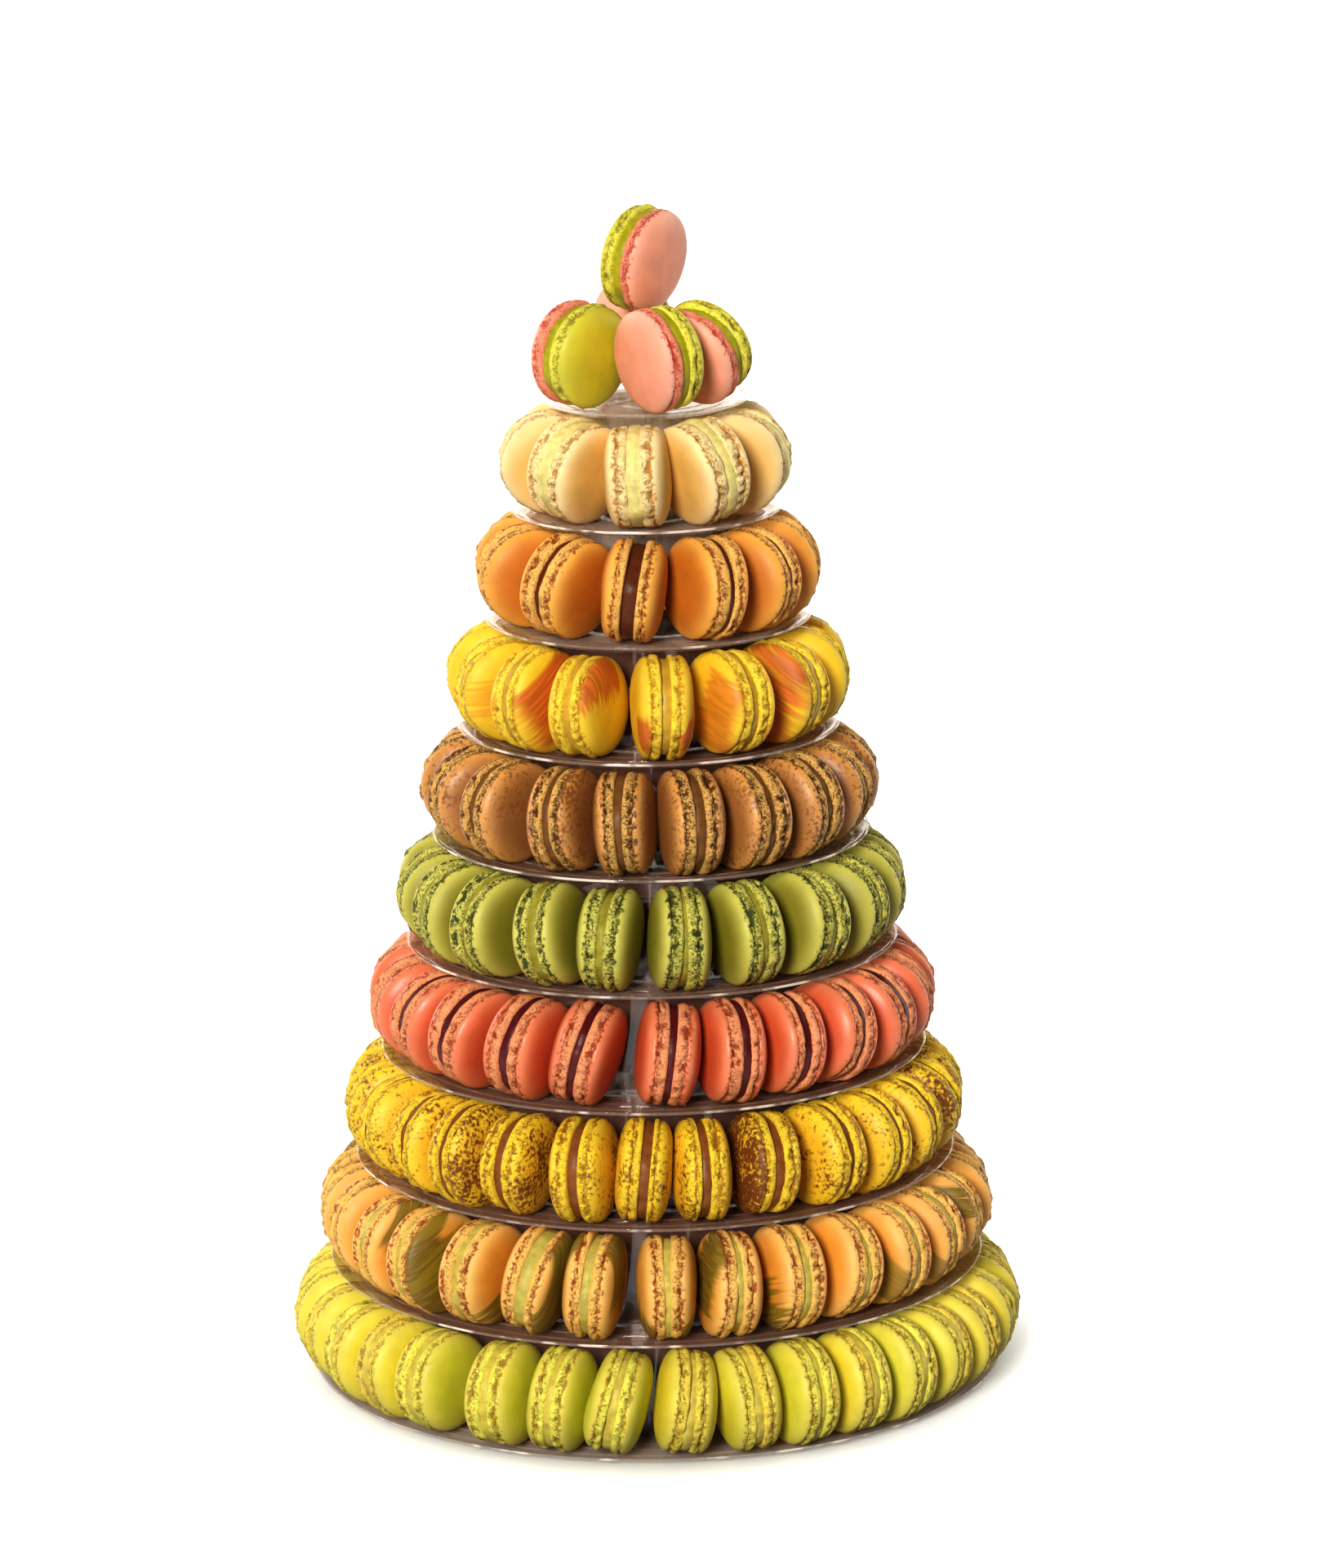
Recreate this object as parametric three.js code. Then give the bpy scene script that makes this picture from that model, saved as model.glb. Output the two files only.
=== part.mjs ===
// Macaron tower on its stand of stacked clear ring trays, in millimetres with Z up.
// The front of the tower faces -Y; angles run from the front towards +X.

import * as THREE from 'three';

// Macarons
const RADIUS = 22.5;
const DOME_RISE = 7;
const RIM_SIDES = 8;
const RIM_RADIUS = 23.7;
const RIM_OFFSET = 6;
const GROOVE_RADIUS = 20;
const NECK_SIDES = 4;
const NECK_RADIUS = 9;
const WEDGE_CLEARANCE = 0.3;
const GAP = 0.3;

// Trays
const TIER_PITCH = 49;
const WALL = 1.6;
const LIP_HEIGHT = 3.7;
const LIP_FLARE = 7.5;
const LIP_BEYOND_RING = 18.4;
const BASE_LIP_RADIUS = 157;
const CROWN_INSIDE_RING = 23.5;
const CROWN_DRAFT = 2;
const FLANGE = 10;
const TRAY_SIDES = [22, 20, 18, 16, 14, 14, 12, 12, 10];

// Top tray with its post
const TOP_LIP_RADIUS = 45.7;
const POST_BASE_RADIUS = 8;
const POST_TOP_RADIUS = 7;
const POST_HEIGHT = 41;
const TOP_SIDES = 10;

// Tiers from the bottom: macarons in the ring, then angle and lean of those seen from the front.
const TOP_RING_RADIUS = 42.1;
const RING_STEP = 12.56;
const TIERS = [
  { name: 'ring_1', color: 0xb9b62c, count: 34,
    angles: [-62, -52, -42, -28, -17, -7, 5, 15.5, 26, 36, 46, 56],
    leans: [0, 0, 0, -1, 7, 12, 8, -4, -1, 0, 0, 0] },
  { name: 'ring_2', color: 0xe3a866, count: 30,
    angles: [-60, -49, -35.5, -23, -12, 2, 14, 26, 38, 50],
    leans: [0, 0, 1, 12, 6, 0, 2, 2, 6, 0] },
  { name: 'ring_3', color: 0xe8c02e, count: 27,
    angles: [-54, -42.5, -30, -15, -2, 9.5, 23.5, 38.5, 51],
    leans: [0, 0, 2, 0, 5, 1, 4, 0, 0] },
  { name: 'ring_4', color: 0xe58a6c, count: 23,
    angles: [-63, -47.5, -31, -16, 3.5, 19, 32.5, 47],
    leans: [8, 9, 9, 13, 7, 4, 5, 9] },
  { name: 'ring_5', color: 0xb9c06a, count: 20,
    angles: [-64, -46.5, -27.5, -11.5, 7.5, 26, 44.5, 63],
    leans: [0, 0, -6, 2, 2, -1, 4, 0] },
  { name: 'ring_6', color: 0x8a5f35, count: 18,
    angles: [-69, -51, -27, -8, 12.5, 32, 51.5],
    leans: [0, 0, -5, -2, -1, 0, 0] },
  { name: 'ring_7', color: 0xe9bd3c, count: 15,
    angles: [-68, -45.5, -23.5, 5, 31.5, 57.5, 81],
    leans: [0, 0, -1, 1, 2, 0, 0] },
  { name: 'ring_8', color: 0xdc9440, count: 12,
    angles: [-74, -39, -6, 29, 55.5, 84],
    leans: [0, 10, 8, 4, 2, 0] },
  { name: 'ring_9', color: 0xe6cd9a, count: 9,
    angles: [-84, -44.5, -5, 36, 78],
    leans: [0, 9, -2, -9, 0] },
];

// Top pile: centre over the underside of the top tray, turn of the axis, lean, thickness, shell colours.
const PINK = 0xee9a7c;
const GREEN = 0xc9b92e;
const FILLING_HALF = 1.9;
const FILLING_RADIUS = 21;
const SHELL_INNER_RADIUS = 21.5;
const TOP_PILE = [
  { x: -27.8, y: -18, z: 25.8, turn: -45, lean: 4, thickness: 28, minus: PINK, plus: GREEN },
  { x: 6.6, y: -39.5, z: 27.1, turn: 33, lean: -5, thickness: 26, minus: PINK, plus: GREEN },
  { x: 24.7, y: -19, z: 26.2, turn: 52, lean: -20, thickness: 26, minus: PINK, plus: GREEN },
  { x: -5, y: 35.7, z: 26.4, turn: 25, lean: 0, thickness: 28, minus: PINK, plus: GREEN },
  { x: 0.5, y: 0, z: 64.9, turn: -31, lean: 8, thickness: 25, minus: GREEN, plus: PINK },
];

// Looks
const CLEAR = { color: 0xe9e6ea, roughness: 0.1, opacity: 0.4, transparent: true };
const FILLING_LOOK = { color: 0xb3b25a, roughness: 0.4 };
const baked = (color) => ({ color, roughness: 0.55 });

const group = new THREE.Group();
const degrees = THREE.MathUtils.degToRad;

function addMesh(name, geometry, look) {
  const mesh = new THREE.Mesh(geometry, new THREE.MeshStandardMaterial({ metalness: 0, ...look }));
  mesh.name = name;
  group.add(mesh);
}

// Outward, tangential and upright directions of a macaron, with its turning axis.
function directions(angle, lean) {
  const a = degrees(angle);
  const l = degrees(lean);
  const out = new THREE.Vector3(Math.sin(a), -Math.cos(a), 0);
  const along = new THREE.Vector3(Math.cos(a), Math.sin(a), 0);
  const axis = along.clone().multiplyScalar(Math.cos(l));
  axis.z = -Math.sin(l);
  const up = along.clone().multiplyScalar(Math.sin(l));
  up.z = Math.cos(l);
  return { out, axis, up };
}

// The macarons out of sight share the rest of the circle evenly and stand upright.
function ringLayout(tier) {
  const angles = [...tier.angles];
  const leans = [...tier.leans];
  const hidden = tier.count - angles.length;
  const last = angles[angles.length - 1];
  const step = (360 + angles[0] - last) / (hidden + 1);
  for (let i = 1; i <= hidden; i += 1) {
    angles.push(last + step * i);
    leans.push(0);
  }
  return { angles, leans };
}

function standingHeight(lean) {
  const l = degrees(Math.abs(lean));
  return RADIUS * Math.cos(l) + (RIM_OFFSET + 1) * Math.sin(l) + GAP;
}

function polygon(centre, frame, sides, radius, start) {
  const points = [];
  for (let i = 0; i < sides; i += 1) {
    const angle = degrees(start + (360 / sides) * i);
    points.push(centre.clone()
      .addScaledVector(frame.out, radius * Math.cos(angle))
      .addScaledVector(frame.up, radius * Math.sin(angle)));
  }
  return points;
}

// A ring is one closed string of macarons joined where their domes touch.
function ringGeometry(tier, ringRadius, floor) {
  const { angles, leans } = ringLayout(tier);
  const positions = [];
  const indices = [];
  const bend = DOME_RISE / (RADIUS * RADIUS);

  const addPoints = (points) => {
    const first = positions.length / 3;
    points.forEach((point) => positions.push(point.x, point.y, point.z));
    return first;
  };
  const addQuad = (a, b, c, d) => indices.push(a, b, c, a, c, d);

  const macarons = angles.map((angle, i) => {
    const frame = directions(angle, leans[i]);
    const centre = frame.out.clone().multiplyScalar(ringRadius);
    centre.z = floor + standingHeight(leans[i]);
    return { angle, lean: leans[i], frame, centre };
  });

  // One plane half way between each macaron and the one before it, with the neck on it.
  const planes = macarons.map((macaron, i) => {
    const before = macarons[(i + macarons.length - 1) % macarons.length];
    const half = (((macaron.angle - before.angle) + 360) % 360) / 2;
    const frame = directions(macaron.angle - half, (macaron.lean + before.lean) / 2);
    const reach = ringRadius - Math.tan(degrees(half)) / (2 * bend);
    const centre = frame.out.clone().multiplyScalar(reach);
    centre.z = (macaron.centre.z + before.centre.z) / 2;
    const first = addPoints(polygon(centre, frame, NECK_SIDES, NECK_RADIUS, 0));
    return { normal: frame.axis, centre, first };
  });

  const keepBetween = (point, lower, upper) => {
    const below = point.clone().sub(lower.centre).dot(lower.normal) - WEDGE_CLEARANCE;
    point.addScaledVector(lower.normal, Math.max(-below, 0));
    const above = point.clone().sub(upper.centre).dot(upper.normal) + WEDGE_CLEARANCE;
    point.addScaledVector(upper.normal, -Math.max(above, 0));
  };

  macarons.forEach(({ frame, centre }, i) => {
    const lower = planes[i];
    const upper = planes[(i + 1) % planes.length];
    const loops = [[-RIM_OFFSET, RIM_RADIUS], [0, GROOVE_RADIUS], [RIM_OFFSET, RIM_RADIUS]];
    const [back, groove, front] = loops.map(([offset, radius]) => {
      const middle = centre.clone().addScaledVector(frame.axis, offset);
      const points = polygon(middle, frame, RIM_SIDES, radius, 180 / RIM_SIDES);
      points.forEach((point) => keepBetween(point, lower, upper));
      return addPoints(points);
    });
    for (let j = 0; j < NECK_SIDES; j += 1) {
      const next = (j + 1) % NECK_SIDES;
      const left = (2 * j + RIM_SIDES - 1) % RIM_SIDES;
      const right = 2 * j;
      const far = 2 * j + 1;
      indices.push(lower.first + j, back + left, back + right);
      addQuad(lower.first + j, back + right, back + far, lower.first + next);
      indices.push(upper.first + j, front + right, front + left);
      addQuad(front + right, upper.first + j, upper.first + next, front + far);
    }
    for (let j = 0; j < RIM_SIDES; j += 1) {
      const next = (j + 1) % RIM_SIDES;
      addQuad(back + j, groove + j, groove + next, back + next);
      addQuad(groove + j, front + j, front + next, groove + next);
    }
  });

  const geometry = new THREE.BufferGeometry();
  geometry.setAttribute('position', new THREE.Float32BufferAttribute(positions, 3));
  geometry.setIndex(indices);
  geometry.computeVertexNormals();
  return geometry;
}

function turned(profile, sides) {
  const points = profile.map(([radius, height]) => new THREE.Vector2(radius, height));
  const geometry = new THREE.LatheGeometry(points, sides);
  geometry.rotateX(Math.PI / 2);
  return geometry;
}

// A ring tray: flared lip, flat floor and a hollow crown whose flange carries the next tray.
function ringTray(ringRadius, lip, sides) {
  const crown = ringRadius - CROWN_INSIDE_RING;
  const crownTop = crown - CROWN_DRAFT;
  const top = TIER_PITCH - GAP;
  return turned([
    [crown - WALL, 0],
    [lip - LIP_FLARE, 0],
    [lip, LIP_HEIGHT],
    [lip - LIP_FLARE + WALL, WALL],
    [crown, WALL],
    [crownTop, top],
    [crownTop - FLANGE, top],
    [crownTop - WALL, top - WALL],
    [crown - WALL, 0],
  ], sides);
}

function topTray() {
  return turned([
    [0, POST_HEIGHT - WALL],
    [POST_TOP_RADIUS - WALL, POST_HEIGHT - WALL],
    [POST_BASE_RADIUS - WALL, 0],
    [TOP_LIP_RADIUS - LIP_FLARE, 0],
    [TOP_LIP_RADIUS, LIP_HEIGHT],
    [TOP_LIP_RADIUS - LIP_FLARE + WALL, WALL],
    [POST_BASE_RADIUS, WALL],
    [POST_TOP_RADIUS, POST_HEIGHT],
    [0, POST_HEIGHT],
  ], TOP_SIDES);
}

TIERS.forEach((tier, i) => {
  const ringRadius = TOP_RING_RADIUS + RING_STEP * (TIERS.length - 1 - i);
  const lip = i === 0 ? BASE_LIP_RADIUS : ringRadius + LIP_BEYOND_RING;
  const base = TIER_PITCH * i;
  const tray = ringTray(ringRadius, lip, TRAY_SIDES[i]);
  tray.translate(0, 0, base);
  addMesh(`tray_${i + 1}`, tray, CLEAR);
  addMesh(tier.name, ringGeometry(tier, ringRadius, base + WALL), baked(tier.color));
});

const topBase = TIER_PITCH * TIERS.length;
const last = topTray();
last.translate(0, 0, topBase);
addMesh(`tray_${TIERS.length + 1}`, last, CLEAR);

// Each macaron of the top pile: two shells with a filling between them.
TOP_PILE.forEach((item, i) => {
  const frame = directions(item.turn, item.lean);
  const place = new THREE.Matrix4().makeBasis(frame.up, frame.out, frame.axis);
  place.setPosition(item.x, item.y, topBase + item.z);
  const half = item.thickness / 2;
  const inner = FILLING_HALF + GAP;
  const shell = [
    [0, inner],
    [SHELL_INNER_RADIUS, inner],
    [RADIUS, half - DOME_RISE],
    [RADIUS * 0.7, half - DOME_RISE * 0.5],
    [0, half],
  ];
  const filling = [
    [0, -FILLING_HALF],
    [FILLING_RADIUS, -FILLING_HALF],
    [FILLING_RADIUS, FILLING_HALF],
    [0, FILLING_HALF],
  ];
  const mirrored = shell.map(([radius, offset]) => [radius, -offset]).reverse();
  const name = `top_${i + 1}`;
  addMesh(`${name}_shell_a`, turned(mirrored, TOP_SIDES).applyMatrix4(place), baked(item.minus));
  addMesh(`${name}_filling`, turned(filling, TOP_SIDES).applyMatrix4(place), FILLING_LOOK);
  addMesh(`${name}_shell_b`, turned(shell, TOP_SIDES).applyMatrix4(place), baked(item.plus));
});

export default group;
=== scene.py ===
"""Macaron tower on its stand of clear ring trays. Lengths are in millimetres until a mesh is made."""

from math import cos, pi, radians, sin, tan

import bpy
import numpy as np
from mathutils import Matrix, Vector


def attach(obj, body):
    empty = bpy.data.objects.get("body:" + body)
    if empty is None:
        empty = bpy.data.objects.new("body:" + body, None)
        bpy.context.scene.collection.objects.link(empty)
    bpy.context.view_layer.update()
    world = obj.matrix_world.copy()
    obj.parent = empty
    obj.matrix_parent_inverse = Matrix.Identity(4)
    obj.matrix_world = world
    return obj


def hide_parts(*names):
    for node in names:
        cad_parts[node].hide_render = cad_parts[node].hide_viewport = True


MM = 0.001
SEED = 11

# Macarons
RADIUS = 22.5
SIZE_SPREAD = 0.012
SHELL_SIZE_SPREAD = 0.006
OUT_OF_ROUND = (0.012, 0.008)
RIM_OFFSET = 7.0
GAP = 0.3
PRESS = 0.3
HIDDEN_LEAN = 2.5
CROWDING = 0.5
NOISE_SPREAD = 500

# Domes
DOME_RISE = 6.5
RISE_LEAST = 0.94
RISE_SPREAD = 0.1
DOME_POWERS = (2.8, 0.52)
DOME_SEGMENTS = 36
DOME_CROWDING = 0.6
DOME_RHO = np.sin(np.linspace(0.06, pi / 2, 10))
MEETING_RHO = np.linspace(0, 0.15, 10)
EDGE_TUCK = ((0.6, 0.7), (1.9, 0.9))
# The tucked rows count as lower than the edge, so that they take the pits' colour as painted shade.
TUCK_LOWNESS = [1.05, 1.1]
SHELL_TILT = 0.02
TONE_SPREAD = 0.5
LUMP_HEIGHT = 0.25
LUMP_WIDTHS = (7, 8)

# Feet, in steps from the edge of the dome to the filling
FOOT_SEGMENTS = 84
FOOT_STEPS = np.array([0.0, 0.15, 0.32, 0.55, 0.8, 1.0])
FOOT_REACH = (-0.9, -0.4, 0.1, 0.3, 0.2, -0.2)
FOOT_PITS = np.array([[0.7], [1.3], [1.1], [0.7], [0.35], [0.05]])
# Painted shade in the pits' colour, most just under the dome's edge.
FOOT_SHADE = np.array([[0.5], [0.45], [0.25], [0.08], [0.0], [0.0]])
FOOT_DROP = 0.3
FOOT_UNDERSIDE = 6.0
FOOT_HOLLOW = 0.1
CRAG_SHARE = 0.7
CRAG_PASSES = 1
CRAG_PROUD = 0.3
CRAG_MOST = 2
CRAG_WANDER = 0.3
PIT_GAIN = 0.9
PIT_LEVEL = 0.2
PIT_MOST = 1.5
PIT_DEPTH = 1.3
RUFFLE = 0.25
RUFFLE_PASSES = 4

# Fillings, with their profile in shares of the half thickness and depths below the edge
FILLING_SEGMENTS = 64
FILLING_HIDDEN = 1.6
FILLING_PROFILE = ((1.0, 1.6), (0.4, 0.1), (-0.4, 0.1), (-1.0, 1.6))
FILLING_WAVE = 0.3
FILLING_PASSES = 6

# Trays
TIER_PITCH = 49.0
TOP_RING_RADIUS = 42.1
RING_STEP = 12.56
WALL = 1.6
TRAY_SEGMENTS = 160
# From this tray up, crowns and floors take the pale tint: painted light.
PALE_TRAYS = 7

# Lips of the trays, with points of the profile in steps from the lip's foot or from its top edge
LIP_HEIGHT = 3.7
LIP_FLARE = 7.5
LIP_BEYOND_RING = 18.4
BASE_LIP_RADIUS = 157.0
TOP_LIP_RADIUS = 45.7
LIP_HEEL = ((-0.2, 0.0), (0.3, 0.0), (0.7, 0.2))
LIP_OUTSIDE = (-1.5, -1.5)
LIP_BEAD = ((-0.4, -1.4), (0.0, -0.8), (-0.2, -0.2))
LIP_INSIDE = ((-0.8, 0.0), (-1.6, -0.4))
LIP_TOE = (2.2, 0.1)

# Floors, crowns and post of the trays
FLOOR_RIDGES = 4
FLOOR_RIDGE = 0.3
RIDGE_START = 0.4
RIDGE_HALF = 0.6
RIDGE_CREST_HALF = 0.2
CROWN_INSIDE_RING = 23.5
CROWN_DRAFT = 2.0
CROWN_BEND = 4
CROWN_EASE = 0.2
FLANGE = 10.0
FLUTES = 40
FLUTE_DEPTH = 0.3
FLUTE_FULL_RADIUS = 60
FLUTE_CLEAR_BELOW = 1
FLUTE_CLEAR_ABOVE = 2
POST_BASE_RADIUS = 8.0
POST_TOP_RADIUS = 7.0
POST_HEIGHT = 41.0
POST_TIP = 0.01

# Camera and light, in metres
IMAGE_LONG_SIDE = 1920
FOCAL_PIXELS = 8063
SENSOR = 36.0
CLIP_END = 100
CAMERA_AT = (0.00493, -2.8701, 0.9728)
CAMERA_PITCH = 13.804
CAMERA_ROLL = -0.778
WORLD_STRENGTH = 0.08
WORLD_COLOUR = (1.0, 0.75, 0.5, 1.0)
WARM = (1.0, 0.95, 0.88)
SUNS = {
    "front_light": dict(origin=(-0.3, -1.0, 0.45), strength=3.6, angle=18),
    "back_light": dict(origin=(0.0, 1.0, 0.25), strength=1.3, angle=40),
    "back_light_left": dict(origin=(-0.9, 0.6, 0.3), strength=2.0, angle=50),
    "back_light_right": dict(origin=(0.9, 0.6, 0.3), strength=2.0, angle=50),
}
FLOOR_SIZE = 24
FLOOR_AT = (0, 4, -0.0006)
FLOOR_COLOUR = (0.94, 0.97, 1.0, 1.0)
FLOOR_ROUGHNESS = 0.9
FLOOR_GLOW = 1.0
# Radii over which the floor's glow fades in; inside them the missing glow paints a shade round the tower.
SHADE_RADII = (0.14, 0.2)
BOX_TURNS = (-50, -20, 14)
BOX_SIZE = (0.15, 0.5)
BOX_POWER = 2
BOX_DISTANCE = 2.1
BOX_HEIGHT = 1.25
BOX_AIM = (0, 0, 0.25)
DISPLAY_GAMMA = 0.85

# Noises of the surfaces: scale, detail and roughness
DOME_BROAD = (0.09, 2.0, 0.5)
DOME_RAGGED = (0.5, 4.0, 0.5)
DOME_SKIN = (0.9, 3.0, 0.5)
BRISTLES = (1.0, 4.0, 0.6)
SPECK_FINE = (0.55, 4.0, 0.6)
SPECK_BROAD = (0.07, 1.0, 0.5)
FOOT_FINE = (1.0, 4.0, 0.65)
FOOT_BROAD = (0.2, 2.0, 0.5)
FILLING_BROAD = (0.25, 3.0, 0.5)
CLEAR_WAVES = (60.0, 2.0, 0.5)

# Domes: shine, roughness and its spread, strength and height of the bump, edge in painted light, patches,
# and bites that are partly painted shade
DOME_SHINE = 0.38
DOME_ROUGHNESS = 0.5
DOME_ROUGHNESS_SPREAD = 0.2
DOME_BUMP = (0.12, 0.0006)
# Where the dome turns to the paler edge colour towards its rim: painted light.
LIT_EDGE_STEP = (0.05, 0.85)
DOME_PATCH_STEP = (0.3, 0.7)
DOME_PATCH_RANGE = (0.12, 0.92)
# A ragged dark line at the dome's edge in the pits' colour: partly the foot's crumb, partly painted shade
# under the edge.
EDGE_SHADE_AND_BITE_BY_LOWNESS = 0.7
EDGE_SHADE_AND_BITE_STEP = (1.1, 1.3)

# Brush strokes: stretch of the bristles, fraying of sides, end and start, and streaks in the paint
STROKE_STRETCH = (0.9, 8.0, 0.0)
SIDE_FRAY = -0.45
SIDE_STEP = (0.78, 0.58)
END_FRAY = -1.3
END_STEP = (0.28, 0.05)
START_FRAY = 0.5
START_STEP = (0.05, 0.3)
STREAK_STEP = (0.34, 0.5)
STREAK_RANGE = (0.3, 0.66)
PAINT_STEP = (0.42, 0.58)
RANDOM_STROKE = dict(angle=(80, 220), start=(-1.0, -0.6), length=(0.8, 1.4),
                     shift=(-0.2, 0.5), width=(0.35, 0.7))

# Specks: density by shell and by patch
SPECK_BY_SHELL = 0.32
SPECK_BY_PATCH = 0.5
SPECK_STEP = (0.83, 1.05)
STROKE_DENSITY = 0.3
RANDOM_DENSITY = (0.15, 0.5)

# Feet: shine, roughness, bump, patches, and pits with painted shade added where the foot lies deep
FOOT_SHINE = 0.2
FOOT_ROUGHNESS = 0.7
FOOT_ROUGHNESS_SPREAD = 0.3
FOOT_BUMP = (0.7, 0.0009)
FOOT_PATCH_STEP = (0.35, 0.65)
FOOT_PATCH_RANGE = (0.12, 0.9)
PITS_BY_NOISE = 2.3
# Deeper points take more of the pits' colour: painted shade.
SHADE_PAINTED_BY_DEPTH = 0.6
PITS_LEVEL = -0.65
FOOT_PITTING = (0.57, 1.3)

# Fillings: shine, roughness, bump and darker patches
FILLING_SHINE = 0.25
FILLING_ROUGHNESS = 0.4
FILLING_ROUGHNESS_SPREAD = 0.2
FILLING_BUMP = (0.4, 0.001)
FILLING_PATCH_STEP = (0.3, 0.7)
FILLING_DARKER = 0.75

# Clear plastic: tint, which paints the reflections, shade and light seen in each part, opacity seen square
# on and at a slant, opacity added in patches that paint glints, and roughness
CLEAR_PLASTICS = {
    # The wall's brown tint paints the macarons and shade reflected in the lips and floors and seen through
    # them.
    "clear_wall_painted_reflection": dict(tint="b28872", square=0.05, slant=0.5, painted_glints=0.0, roughness=0.05),
    # The rim's near-white tint and its patches paint bright lines and glints along the lips.
    "clear_rim_painted_highlights": dict(tint="f4ece4", square=0.14, slant=0.3, painted_glints=0.7, roughness=0.06),
    # The crown's dark brown tint and high opacity paint the shade of the tower's inside seen through it.
    "clear_crown_painted_shade": dict(tint="7c574b", square=0.5, slant=0.75, painted_glints=0.0, roughness=0.08),
    # The ridges' lighter tint and patches paint light lines on the floor.
    "clear_ridge_painted_highlights": dict(tint="d2b8a2", square=0.06, slant=0.45, painted_glints=0.2, roughness=0.08),
    # The pale tint paints the light behind the upper trays.
    "clear_pale_painted_light": dict(tint="f2e0d0", square=0.1, slant=0.45, painted_glints=0.2, roughness=0.08),
}
CLEAR_SHINE = 1.0
CLEAR_ROUGHNESS_SPREAD = 0.03
CLEAR_BUMP = (0.015, 0.001)
CLEAR_GLINT_STEP = (0.5, 0.64)
CLEAR_SLANT_BLEND = 0.4

# Colour sockets of a mix
MIX_FIRST = 6
MIX_SECOND = 7
MIX_RESULT = 2

# Material slots of shells, fillings and trays
DOME_SLOT, FOOT_SLOT = range(2)
FILLING_SLOT = 0
WALL_SLOT, RIM_SLOT, CROWN_SLOT, RIDGE_SLOT, PALE_SLOT = range(5)


def stroke(angle, start, length, shift, width, strength=1.0):
    """A brush stroke on a dome: degrees from upright to outward, lengths in radii, and strength."""
    return dict(angle=angle, start=start, length=length, shift=shift, width=width, strength=strength,
                dark=STROKE_DENSITY)


def specks(dark):
    """A dome without a stroke, with specks of that density."""
    return dict(stroke(0, 0, 1, 0, 1), strength=0.0, dark=dark)


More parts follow.
